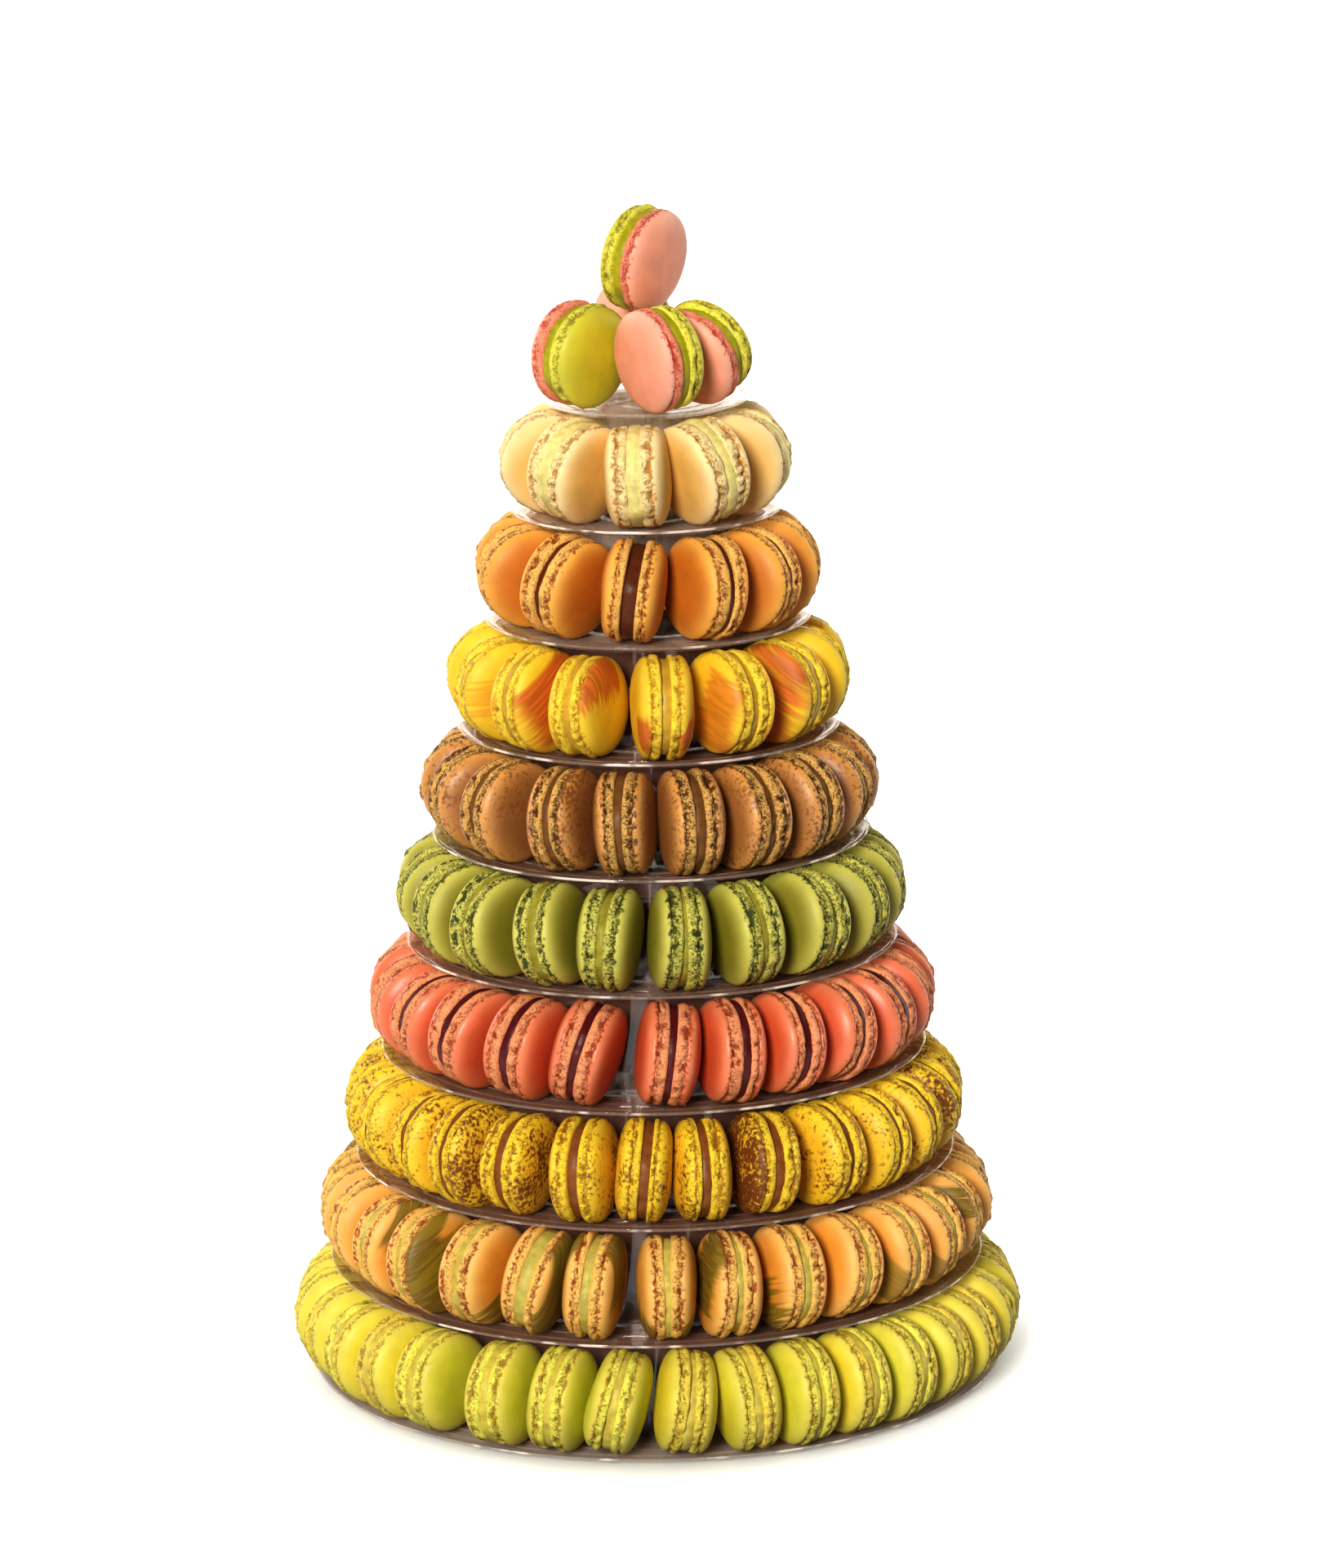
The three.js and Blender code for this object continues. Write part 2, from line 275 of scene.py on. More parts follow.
# Tiers from the bottom: look, thickness, count, then angle and lean of those seen from the front.
# Marks are given by place in the ring and side; a gape is extra half thickness of the filling.
TIERS = [
    dict(look="lime", thickness=26.5, count=34,
         angles=[-62, -52, -42, -28, -17, -7, 5, 15.5, 26, 36, 46, 56],
         leans=[0, 0, 0, -1, 7, 12, 8, -4, -1, 0, 0, 0]),
    dict(look="apricot", thickness=26, count=30,
         angles=[-60, -49, -35.5, -23, -12, 2, 14, 26, 38, 50],
         leans=[0, 0, 1, 12, 6, 0, 2, 2, 6, 0],
         marks={0: {1: stroke(-40, -0.2, 1.5, 0.2, 0.7)},
                1: {1: stroke(-60, -1.2, 1.8, 0.0, 1.1)},
                2: {1: stroke(125, -0.5, 1.8, 0.42, 0.4)},
                3: {1: stroke(-20, -1.2, 3.2, 0.25, 0.65)},
                4: {-1: stroke(-10, -0.2, 1.8, 0.3, 0.5), 1: stroke(-10, -0.2, 1.8, 0.3, 0.5)},
                5: {-1: stroke(20, -1.3, 1.5, 0.5, 0.5), 1: stroke(-20, -1.3, 1.0, 0.2, 0.4)},
                6: {-1: stroke(-83, -0.6, 1.2, 0.3, 0.85)},
                7: {-1: stroke(70, -1.2, 2.1, 0.55, 0.6)},
                9: {-1: stroke(-50, -1.15, 1.6, 0.1, 0.45, 0.8)},
                10: {-1: stroke(-50, -1.1, 1.1, 0.1, 0.3, 0.7)},
                11: {-1: stroke(90, 0.1, 1.1, -0.45, 0.35)}},
         gapes={3: 0.8}),
    dict(look="lemon", thickness=26.5, count=27,
         angles=[-54, -42.5, -30, -15, -2, 9.5, 23.5, 38.5, 51],
         leans=[0, 0, 2, 0, 5, 1, 4, 0, 0],
         marks={0: {1: specks(0.3)},
                1: {1: specks(0.55)},
                2: {1: specks(0.45)},
                3: {-1: specks(0.3), 1: specks(0.25)},
                4: {-1: specks(0.35), 1: specks(0.2)},
                5: {-1: specks(0.3), 1: specks(0.3)},
                6: {-1: specks(0.85), 1: specks(0.35)},
                7: {-1: specks(0.2)},
                8: {-1: specks(0.2)}}),
    dict(look="coral", thickness=28, count=23,
         angles=[-63, -47.5, -31, -16, 3.5, 19, 32.5, 47],
         leans=[8, 9, 9, 13, 7, 4, 5, 9]),
    dict(look="pistachio", thickness=27, count=20,
         angles=[-64, -46.5, -27.5, -11.5, 7.5, 26, 44.5, 63],
         leans=[0, 0, -6, 2, 2, -1, 4, 0],
         gapes={2: 0.9}),
    dict(look="coffee", thickness=27, count=18,
         angles=[-69, -51, -27, -8, 12.5, 32, 51.5],
         leans=[0, 0, -5, -2, -1, 0, 0]),
    dict(look="saffron", thickness=27, count=15,
         angles=[-68, -45.5, -23.5, 5, 31.5, 57.5, 81],
         leans=[0, 0, -1, 1, 2, 0, 0],
         marks={0: {1: stroke(95, -0.8, 2.0, 0.0, 0.4, 0.4)},
                1: {1: stroke(-55, -0.65, 2.0, 0.1, 0.75)},
                2: {1: stroke(185, -1.25, 1.2, -0.35, 0.75)},
                3: {-1: stroke(180, 0.1, 0.9, -0.8, 0.22), 1: stroke(180, 0.1, 0.8, -0.8, 0.2)},
                4: {-1: stroke(-70, -0.8, 1.0, 0.0, 0.85, 0.75)},
                5: {-1: stroke(-58, -0.6, 2.4, 0.0, 1.1)},
                6: {-1: stroke(135, -1.1, 1.0, 0.1, 0.3)}}),
    dict(look="caramel", thickness=28, count=12,
         angles=[-74, -39, -6, 29, 55.5, 84],
         leans=[0, 10, 8, 4, 2, 0],
         gapes={2: 1.3}),
    dict(look="vanilla", thickness=30, count=9,
         angles=[-84, -44.5, -5, 36, 78],
         leans=[0, 9, -2, -9, 0]),
]

# Top pile: centre over the underside of the top tray, turn of the axis, lean, thickness and pink side.
TOP_PILE = [
    dict(at=(-27.8, -18, 25.8), turn=-45, lean=4, thickness=28, pink=-1),
    dict(at=(6.6, -39.5, 27.1), turn=33, lean=-5, thickness=26, pink=-1),
    dict(at=(24.7, -19, 26.2), turn=52, lean=-20, thickness=26, pink=-1),
    dict(at=(-5, 35.7, 26.4), turn=25, lean=0, thickness=28, pink=-1),
    dict(at=(0.5, 0, 64.9), turn=-31, lean=8, thickness=25, pink=1),
]

# Looks: colours of dome, edge (painted light towards the dome's rim), foot, its pits (also laid on as
# painted shade) and filling; half thickness and depth of the filling.
# Some vary to another dome and foot, have specks, or have deep and pale strokes on a share of the shells.
# Own shine and roughness of the dome, and own pitting of the foot, take the place of the common ones.
LOOKS = {
    "lime": dict(dome="e8d236", other="d0d03c", edge="e0d65c", foot="f0d95c", foot_other="eeea66",
                 pit="aa8a2c", filling="d8c858", half=1.9, sunk=0.6),
    "apricot": dict(dome="dc9632", edge="f4c470", foot="f8ca70", pit="a0501c", filling="ccc060",
                    half=1.7, sunk=0.8, strokes=("544a10", "8a741a"), stroke_share=0.75),
    "lemon": dict(dome="eebe2c", edge="f6d636", foot="f8d840", pit="ac781f", filling="8c5424",
                  half=2.2, sunk=1.2, specks="763f15"),
    "coral": dict(dome="d05a32", edge="ea8a62", foot="f6a678", pit="a84a26", filling="5a1418",
                  half=2.0, sunk=0.9, shine=0.55, roughness=0.4),
    "pistachio": dict(dome="888222", edge="cecb62", foot="d4d16a", pit="434a18", filling="a49d38",
                      half=1.5, sunk=1.0, pitting=(0.5, 1.05)),
    "coffee": dict(dome="9d6733", edge="dca258", foot="e2b468", pit="583612", filling="7c5429",
                   half=2.1, sunk=1.4, specks="865224", shine=0.5, roughness=0.42, pitting=(0.52, 1.1)),
    "saffron": dict(dome="eec42a", edge="f4d43a", foot="fde04c", pit="d09a28", filling="d2ac3e",
                    half=2.1, sunk=1.0, strokes=("b04812", "d87428"), stroke_share=0.85),
    "caramel": dict(dome="ca7822", edge="f4b856", foot="fcc670", pit="a0541a", filling="602c0e",
                    half=1.8, sunk=1.6),
    "vanilla": dict(dome="e0b664", edge="fae6b0", foot="fce8ac", pit="cf9a4c", filling="f4e898",
                    half=2.6, sunk=0.0),
    "pink": dict(dome="f6a68a", edge="f8b8a0", foot="f8a084", pit="d05038", half=2.2, sunk=0.8),
    "green": dict(dome="d0c82c", edge="d6d24a", foot="ece85e", pit="a4962a", filling="b8b424",
                  half=2.2, sunk=0.8),
}

rng = np.random.default_rng(SEED)


def linear(code):
    """Linear red, green, blue and alpha of a colour code."""
    channels = [int(code[i:i + 2], 16) / 255 for i in (0, 2, 4)]
    return tuple(c / 12.92 if c <= 0.04045 else ((c + 0.055) / 1.055) ** 2.4 for c in channels) + (1.0,)


def ring_radius_of(tier_number):
    """Radius of the circle on which a ring's macarons stand, counted from the bottom ring."""
    return TOP_RING_RADIUS + RING_STEP * (len(TIERS) - 1 - tier_number)


def directions(angle, lean):
    """Upright, outward and axis directions of a macaron, a right-handed set."""
    turn = radians(angle)
    slope = radians(lean)
    out = np.array([sin(turn), -cos(turn), 0.0])
    along = np.array([cos(turn), sin(turn), 0.0])
    rise = np.array([0.0, 0.0, 1.0])
    up = rise * cos(slope) + along * sin(slope)
    axis = along * cos(slope) - rise * sin(slope)
    return np.stack([up, out, axis])


def dome_height(rho):
    """Height of the dome, 1 at its middle and 0 at its edge."""
    return (1.0 - np.clip(rho, 0, 1) ** DOME_POWERS[0]) ** DOME_POWERS[1]


def room(ring_radius, gap):
    """Half thickness that fits at a gap of that many degrees before neighbouring domes meet."""
    slope = tan(radians(gap / 2))
    drop = DOME_RISE * (1 - dome_height(MEETING_RHO))
    return float(np.min((ring_radius - MEETING_RHO * RADIUS) * slope + drop))


def ring_layout(tier, ring_radius, floor):
    """The macarons of a ring; those out of sight share the rest of the circle evenly."""
    angles = list(tier["angles"])
    leans = list(tier["leans"])
    seen = len(angles)
    hidden = tier["count"] - seen
    last = angles[-1]
    step = (360 + angles[0] - last) / (hidden + 1)
    angles += [last + step * (i + 1) for i in range(hidden)]
    leans += list(rng.normal(0, HIDDEN_LEAN, hidden))
    found = []
    for i, (angle, lean) in enumerate(zip(angles, leans)):
        before = (angle - angles[i - 1]) % 360
        after = (angles[(i + 1) % len(angles)] - angle) % 360
        slope = radians(abs(lean))
        height = RADIUS * cos(slope) + RIM_OFFSET * sin(slope) + GAP
        axes = directions(angle, lean)
        halves = [min(tier["thickness"] / 2, room(ring_radius, gap) + PRESS) for gap in (before, after)]
        centre = axes[1] * ring_radius + np.array([0, 0, floor + height])
        gape = tier.get("gapes", {}).get(i, 0.0)
        marks = tier.get("marks", {}).get(i, {})
        found.append(dict(axes=axes, centre=centre, halves=halves, crowding=CROWDING,
                          gape=gape, marks=marks, seen=i < seen))
    return found


def smooth_noise(shape, passes):
    """Noise that closes on itself along its last axis, of about unit size."""
    noise = rng.normal(size=shape)
    for _ in range(passes):
        noise = (np.roll(noise, 1, -1) + 2 * noise + np.roll(noise, -1, -1)) / 4
    return noise / noise.std()


class Soup:
    """Collects rings of points into one mesh with named point values."""

    def __init__(self):
        self.points = []
        self.faces = []
        self.slots = []
        self.values = {}
        self.total = 0

    def add(self, grid, flip, slot, apex=None, **values):
        """Adds a band of rings, closed by an apex over the first ring where one is given."""
        rings, segments, _ = grid.shape
        index = np.arange(rings * segments).reshape(rings, segments) + self.total
        after = np.roll(index, -1, 1)
        quads = np.stack([index[:-1], index[1:], after[1:], after[:-1]], -1).reshape(-1, 4)
        triangles = [quads[:, [0, 1, 2]], quads[:, [0, 2, 3]]]
        flat = grid.reshape(-1, 3)
        if apex is not None:
            tip = np.full(segments, self.total + len(flat))
            triangles.append(np.stack([tip, index[0], after[0]], -1))
            flat = np.vstack([flat, apex])
        faces = np.concatenate(triangles)
        if flip:
            faces = faces[:, ::-1]
        self.points.append(flat)
        self.faces.append(faces)
        self.slots.append(np.full(len(faces), slot))
        for name, value in values.items():
            self.values.setdefault(name, []).append(value)
        self.total += len(flat)

    def mesh(self, name, materials):
        """Makes the piece, smooth shaded, with its point values and materials."""
        points = np.concatenate(self.points) * MM
        faces = np.concatenate(self.faces).astype(np.int32)
        mesh = bpy.data.meshes.new(name)
        mesh.vertices.add(len(points))
        mesh.vertices.foreach_set("co", points.astype(np.float32).ravel())
        mesh.loops.add(faces.size)
        mesh.loops.foreach_set("vertex_index", faces.ravel())
        mesh.polygons.add(len(faces))
        mesh.polygons.foreach_set("loop_start", np.arange(0, faces.size, 3, dtype=np.int32))
        mesh.polygons.foreach_set("material_index", np.concatenate(self.slots).astype(np.int32))
        mesh.polygons.foreach_set("use_smooth", np.ones(len(faces), dtype=bool))
        mesh.update(calc_edges=True)
        for key, blocks in self.values.items():
            value = np.concatenate(blocks).astype(np.float32)
            kind, field = ("FLOAT_VECTOR", "vector") if value.ndim == 2 else ("FLOAT", "value")
            layer = mesh.attributes.new(key, kind, "POINT")
            layer.data.foreach_set(field, value.ravel())
        for material in materials:
            mesh.materials.append(material)
        piece = bpy.data.objects.new(name, mesh)
        bpy.context.scene.collection.objects.link(piece)
        return piece


def turning(segments, crowding=0.0):
    """Angles round a circle, closer together on the outward side where crowding is above zero."""
    even = np.linspace(0, 2 * pi, segments, endpoint=False)
    return even + crowding * np.cos(even)


def circle_row(turn, reach, height):
    """Points round an axis; reach and height are numbers or have a value for each angle."""
    x = reach * np.cos(turn)
    y = reach * np.sin(turn)
    return np.stack([x, y, np.broadcast_to(height, turn.shape)], -1)


def out_of_round(turn, size, shape):
    """Reach of a slightly uneven round edge at each angle."""
    oval = OUT_OF_ROUND[0] * np.cos(2 * turn - shape[0])
    corners = OUT_OF_ROUND[1] * np.cos(3 * turn - shape[1])
    return size * (1 + oval + corners)


def brush_values(local, mark):
    """Place along and across a brush stroke in shares of its length and width, and its strength."""
    angle = radians(mark["angle"])
    ahead = (local[:, 0] * cos(angle) + local[:, 1] * sin(angle)) / RADIUS
    aside = (local[:, 1] * cos(angle) - local[:, 0] * sin(angle)) / RADIUS
    along = (ahead - mark["start"]) / mark["length"]
    across = (aside - mark["shift"]) / mark["width"]
    return np.stack([along, across, np.full(len(local), mark["strength"])], -1)


def dome_grid(turn, edge, base, rise):
    """Rings of a gently lumpy dome with its edge tucked under, and the tip."""
    lumps = rng.normal(0, LUMP_HEIGHT, 3)
    waves = rng.uniform(0, 2 * pi, 3)
    rows = []
    for rho in DOME_RHO:
        row = circle_row(turn, edge * rho, base + rise * dome_height(rho))
        upward = lumps[0] * np.sin(row[:, 0] / LUMP_WIDTHS[0] + waves[0])
        outward = lumps[1] * np.sin(row[:, 1] / LUMP_WIDTHS[1] + waves[1])
        row[:, 2] += (upward + outward) * (1 - rho ** 2)
        rows.append(row)
    for inward, down in EDGE_TUCK:
        rows.append(circle_row(turn, edge - inward, base - down))
    tip = np.array([[0, 0, base + rise + lumps[0] * np.sin(waves[0]) + lumps[1] * np.sin(waves[1])]])
    return np.stack(rows), tip


def foot_grid(turn, edge, base, thickness):
    """Rings of a craggy foot that ends under the shell, and how deep each point lies in pits and shade."""
    coarse = smooth_noise((1, FOOT_SEGMENTS), CRAG_PASSES)
    fine = smooth_noise((len(FOOT_STEPS), FOOT_SEGMENTS), CRAG_PASSES)
    crags = CRAG_SHARE * coarse + CRAG_SHARE * fine
    ruffle = smooth_noise((1, FOOT_SEGMENTS), RUFFLE_PASSES)[0]
    pits = np.clip(crags * PIT_GAIN - PIT_LEVEL, 0, PIT_MOST) * FOOT_PITS
    rows = []
    for k, step in enumerate(FOOT_STEPS):
        reach = edge + FOOT_REACH[k] + RUFFLE * ruffle - PIT_DEPTH * pits[k]
        reach += CRAG_PROUD * np.clip(-crags[k], 0, CRAG_MOST) * FOOT_PITS[k]
        height = base - FOOT_DROP - step * thickness + CRAG_WANDER * crags[k - 1] * FOOT_PITS[k]
        rows.append(circle_row(turn, reach, height))
    rows.append(circle_row(turn, edge - FOOT_UNDERSIDE, rows[-1][:, 2] - FOOT_HOLLOW))
    # Depth in pits plus painted shade under the dome's edge; the row under the foot takes full painted
    # shade.
    depth = np.concatenate([pits + FOOT_SHADE, np.ones((1, FOOT_SEGMENTS))])
    return np.stack(rows), depth.ravel()


def add_shell(soup, item, side, look, size, shape, mark):
    """One shell: a smooth dome over a craggy foot."""
    half = item["halves"][0 if side < 0 else 1]
    rise = DOME_RISE * (RISE_LEAST + RISE_SPREAD * rng.random())
    base = half - rise
    tilt = rng.normal(0, SHELL_TILT, 2)
    offset = rng.uniform(-NOISE_SPREAD, NOISE_SPREAD, 3)
    tone = rng.beta(TONE_SPREAD, TONE_SPREAD)

    def placed(grid):
        local = grid.reshape(-1, 3)
        lift = local[:, 2] + local[:, 0] * tilt[0] + local[:, 1] * tilt[1]
        local = np.column_stack([local[:, :2], side * lift])
        world = item["centre"] + local @ item["axes"]
        return local, world

    turn = turning(DOME_SEGMENTS, DOME_CROWDING * item["crowding"])
    grid, tip = dome_grid(turn, out_of_round(turn, size, shape), base, rise)
    local, world = placed(grid)
    tip_local, tip_world = placed(tip)
    every = np.vstack([local, tip_local])
    count = len(every)
    low = [1 - dome_height(rho) for rho in DOME_RHO] + TUCK_LOWNESS
    lowness = np.append(np.repeat(low, DOME_SEGMENTS), 0.0)
    soup.add(world.reshape(grid.shape), side < 0, DOME_SLOT, tip_world,
             spot=every + offset, brush=brush_values(every, mark), seed=np.full((count, 3), offset),
             relief=lowness, dark=np.full(count, mark["dark"]), tone=np.full(count, tone))

    turn = turning(FOOT_SEGMENTS, item["crowding"])
    thickness = base - FOOT_DROP - look["half"] - item["gape"]
    grid, depth = foot_grid(turn, out_of_round(turn, size, shape), base, thickness)
    local, world = placed(grid)
    count = len(local)
    soup.add(world.reshape(grid.shape), side < 0, FOOT_SLOT,
             spot=local + offset, brush=np.zeros((count, 3)), seed=np.zeros((count, 3)),
             relief=depth, dark=np.full(count, mark["dark"]), tone=np.full(count, tone))


def add_filling(soup, item, look, size, shape):
    """The filling between the shells, a soft uneven band."""
    turn = turning(FILLING_SEGMENTS, item["crowding"])
    edge = out_of_round(turn, size, shape) - look["sunk"]
    wavy = smooth_noise((1, FILLING_SEGMENTS), FILLING_PASSES)[0]
    half = look["half"] + item["gape"] + FILLING_HIDDEN
    rows = []
    for step, inward in FILLING_PROFILE:
        rows.append(circle_row(turn, edge - inward + FILLING_WAVE * wavy, step * half))
    grid = np.stack(rows)
    local = grid.reshape(-1, 3)
    world = item["centre"] + local @ item["axes"]
    offset = rng.uniform(-NOISE_SPREAD, NOISE_SPREAD, 3)
    soup.add(world.reshape(grid.shape), False, FILLING_SLOT, spot=local + offset)


def random_mark(look, plain):
    """Brush stroke and speck density of a shell that the front view doesn't settle."""
    share = 0.0 if plain else look.get("stroke_share", 0.0)
    mark = {key: rng.uniform(*span) for key, span in RANDOM_STROKE.items()}
    mark["strength"] = float(rng.random() < share)
    mark["dark"] = rng.uniform(*RANDOM_DENSITY)
    return mark


def add_macaron(shells, fillings, item, looks):
    """Both shells and the filling; looks and shells are given for the minus and the plus side."""
    size = RADIUS * rng.normal(1, SIZE_SPREAD)
    for side, look, soup in zip((-1, 1), looks, shells):
        shape = rng.uniform(0, 2 * pi, 2)
        mark = item["marks"].get(side)
        if mark is None:
            mark = random_mark(look, item["seen"])
        add_shell(soup, item, side, look, size * rng.normal(1, SHELL_SIZE_SPREAD), shape, mark)
    add_filling(fillings, item, looks[0], size, rng.uniform(0, 2 * pi, 2))


def node(tree, kind, links=(), **settings):
    """A shader node; links are (input, output socket) pairs, settings are inputs or properties."""
    made = tree.nodes.new(kind)
    for name, value in settings.items():
        if hasattr(made, name):
            setattr(made, name, value)
        else:
            made.inputs[name].default_value = value
    for name, socket in links:
        tree.links.new(socket, made.inputs[name])
    return made


def point_value(tree, name, output="Fac"):
    """A named value of the mesh's points."""
    return node(tree, "ShaderNodeAttribute", attribute_name=name).outputs[output]


def noise_value(tree, place, scale, detail, roughness):
    """Noise over a place."""
    made = node(tree, "ShaderNodeTexNoise", [("Vector", place)],
                Scale=scale, Detail=detail, Roughness=roughness)
    return made.outputs["Fac"]


def mixed(tree, share, first, second):
    """Colour between two colours or sockets by a share."""
    mix = node(tree, "ShaderNodeMix", data_type="RGBA")
    tree.links.new(share, mix.inputs["Factor"])
    for socket, value in ((mix.inputs[MIX_FIRST], first), (mix.inputs[MIX_SECOND], second)):
        if isinstance(value, tuple):
            socket.default_value = value
        else:
            tree.links.new(value, socket)
    return mix.outputs[MIX_RESULT]


def calculated(tree, operation, first, second=0.0, third=0.0):
    """Math on sockets or numbers."""
    made = node(tree, "ShaderNodeMath", operation=operation)
    for i, value in enumerate((first, second, third)):
        if isinstance(value, (int, float)):
            made.inputs[i].default_value = value
        else:
            tree.links.new(value, made.inputs[i])
    return made.outputs[0]


def stepped(tree, value, low, high):
    """Smooth step from 0 at low to 1 at high."""
    made = node(tree, "ShaderNodeMapRange", interpolation_type="SMOOTHSTEP", clamp=True)
    made.inputs["From Min"].default_value = low
    made.inputs["From Max"].default_value = high
    tree.links.new(value, made.inputs["Value"])
    return made.outputs["Result"]


def patched(tree, colour, value, step, reach):
    """A colour made lighter and darker in patches; reach is their spread and the darkest."""
    bright = calculated(tree, "MULTIPLY_ADD", stepped(tree, value, *step), *reach)
    made = node(tree, "ShaderNodeVectorMath", [("Vector", colour), ("Scale", bright)], operation="SCALE")
    return made.outputs["Vector"]


def new_material(name, specular):
    """A material with its node tree and shader."""
    material = bpy.data.materials.new(name)
    material.use_nodes = True
    tree = material.node_tree
    shader = tree.nodes["Principled BSDF"]
    shader.inputs["Specular IOR Level"].default_value = specular
    return material, tree, shader


def roughened(tree, shader, value, middle, spread):
    """Roughness that varies with a noise about its middle."""
    rough = calculated(tree, "MULTIPLY_ADD", value, spread, middle - spread / 2)
    tree.links.new(rough, shader.inputs["Roughness"])


def bumped(tree, shader, height, strength, distance):
    """Fine relief of the surface."""
    bump = node(tree, "ShaderNodeBump", [("Height", height)], Strength=strength, Distance=distance)
    tree.links.new(bump.outputs["Normal"], shader.inputs["Normal"])


def darker(colour, factor):
    """A colour with its channels multiplied by a factor."""
    return tuple(c * factor for c in colour[:3]) + (1.0,)


def brushed(tree, colour, codes):
    """Brush strokes in a deep and a pale paint, with frayed sides and ends, over a colour."""
    brush = point_value(tree, "brush", "Vector")
    part = node(tree, "ShaderNodeSeparateXYZ", [("Vector", brush)]).outputs
    stretched = node(tree, "ShaderNodeMapping", [("Vector", brush)], Scale=STROKE_STRETCH)
    shifted = node(tree, "ShaderNodeVectorMath", operation="ADD")
    tree.links.new(stretched.outputs["Vector"], shifted.inputs[0])
    tree.links.new(point_value(tree, "seed", "Vector"), shifted.inputs[1])
    bristle = noise_value(tree, shifted.outputs["Vector"], *BRISTLES)
    sides = calculated(tree, "MULTIPLY_ADD", bristle, SIDE_FRAY, calculated(tree, "ABSOLUTE", part["Y"]))
    end = calculated(tree, "MULTIPLY_ADD", bristle, END_FRAY, part["X"])
    start = calculated(tree, "MULTIPLY_ADD", bristle, START_FRAY, part["X"])
    streaks = calculated(tree, "MULTIPLY_ADD", stepped(tree, bristle, *STREAK_STEP), *STREAK_RANGE)
    share = stepped(tree, sides, *SIDE_STEP)
    for factor in (stepped(tree, end, *END_STEP), stepped(tree, start, *START_STEP), streaks, part["Z"]):
        share = calculated(tree, "MULTIPLY", share, factor)
    deep, pale = [linear(code) for code in codes]
    paint = mixed(tree, stepped(tree, bristle, *PAINT_STEP), deep, pale)
    return mixed(tree, share, colour, paint)


def speckled(tree, colour, spot, code):
    """Specks over a colour, denser in patches and on some shells."""
    fine = noise_value(tree, spot, *SPECK_FINE)
    patches = calculated(tree, "MULTIPLY", noise_value(tree, spot, *SPECK_BROAD), SPECK_BY_PATCH)
    dense = calculated(tree, "MULTIPLY_ADD", point_value(tree, "dark"), SPECK_BY_SHELL, patches)
    share = stepped(tree, calculated(tree, "ADD", fine, dense), *SPECK_STEP)
    return mixed(tree, share, colour, linear(code))


def dome_material(name, look):
    """Skin of a dome: paler towards its edge as painted light, patchy, with its strokes or specks and a
    bitten edge in the pits' colour, partly painted shade under the edge.
    """
    material, tree, shader = new_material(name + "_dome", look.get("shine", DOME_SHINE))
    spot = point_value(tree, "spot", "Vector")
    lowness = point_value(tree, "relief")
    other = linear(look.get("other", look["dome"]))
    face = mixed(tree, point_value(tree, "tone"), linear(look["dome"]), other)
    # Painted light: the dome's colour turns paler towards its rim.
    colour = mixed(tree, stepped(tree, lowness, *LIT_EDGE_STEP), face, linear(look["edge"]))
    colour = patched(tree, colour, noise_value(tree, spot, *DOME_BROAD), DOME_PATCH_STEP, DOME_PATCH_RANGE)
    if "strokes" in look:
        colour = brushed(tree, colour, look["strokes"])
    if "specks" in look:
        colour = speckled(tree, colour, spot, look["specks"])
    ragged = noise_value(tree, spot, *DOME_RAGGED)
    # Painted shade under the dome's edge, ragged like the foot's crumb.
    edge_shade_and_bite = stepped(tree, calculated(tree, "MULTIPLY_ADD", lowness, EDGE_SHADE_AND_BITE_BY_LOWNESS, ragged), *EDGE_SHADE_AND_BITE_STEP)
    tree.links.new(mixed(tree, edge_shade_and_bite, colour, linear(look["pit"])), shader.inputs["Base Color"])
    skin = noise_value(tree, spot, *DOME_SKIN)
    roughened(tree, shader, skin, look.get("roughness", DOME_ROUGHNESS), DOME_ROUGHNESS_SPREAD)
    bumped(tree, shader, skin, *DOME_BUMP)
    return material


def foot_material(name, look):
    """Crumb of a foot: patchy and light, with dark sunken pits, deepened by painted shade where the foot
    lies deep in pits and under the dome's edge.
    """
    material, tree, shader = new_material(name + "_foot", FOOT_SHINE)
    spot = point_value(tree, "spot", "Vector")
    fine = noise_value(tree, spot, *FOOT_FINE)
    # Painted shade: the pits' colour grows with the depth carried by the mesh.
    sunk = calculated(tree, "MULTIPLY_ADD", point_value(tree, "relief"), SHADE_PAINTED_BY_DEPTH, PITS_LEVEL)
    level = calculated(tree, "MULTIPLY_ADD", fine, PITS_BY_NOISE, sunk)
    share = stepped(tree, level, *look.get("pitting", FOOT_PITTING))
    other = linear(look.get("foot_other", look["foot"]))
    light = mixed(tree, point_value(tree, "tone"), linear(look["foot"]), other)
    ground = patched(tree, light, noise_value(tree, spot, *FOOT_BROAD), FOOT_PATCH_STEP, FOOT_PATCH_RANGE)
    tree.links.new(mixed(tree, share, ground, linear(look["pit"])), shader.inputs["Base Color"])
    roughened(tree, shader, fine, FOOT_ROUGHNESS, FOOT_ROUGHNESS_SPREAD)
    bumped(tree, shader, calculated(tree, "SUBTRACT", 1.0, share), *FOOT_BUMP)
    return material


def filling_material(name, look):
    """Soft filling with darker patches."""
    material, tree, shader = new_material(name + "_filling", FILLING_SHINE)
    broad = noise_value(tree, point_value(tree, "spot", "Vector"), *FILLING_BROAD)
    tone = linear(look["filling"])
    colour = mixed(tree, stepped(tree, broad, *FILLING_PATCH_STEP), darker(tone, FILLING_DARKER), tone)
    tree.links.new(colour, shader.inputs["Base Color"])
    roughened(tree, shader, broad, FILLING_ROUGHNESS, FILLING_ROUGHNESS_SPREAD)
    bumped(tree, shader, broad, *FILLING_BUMP)
    return material


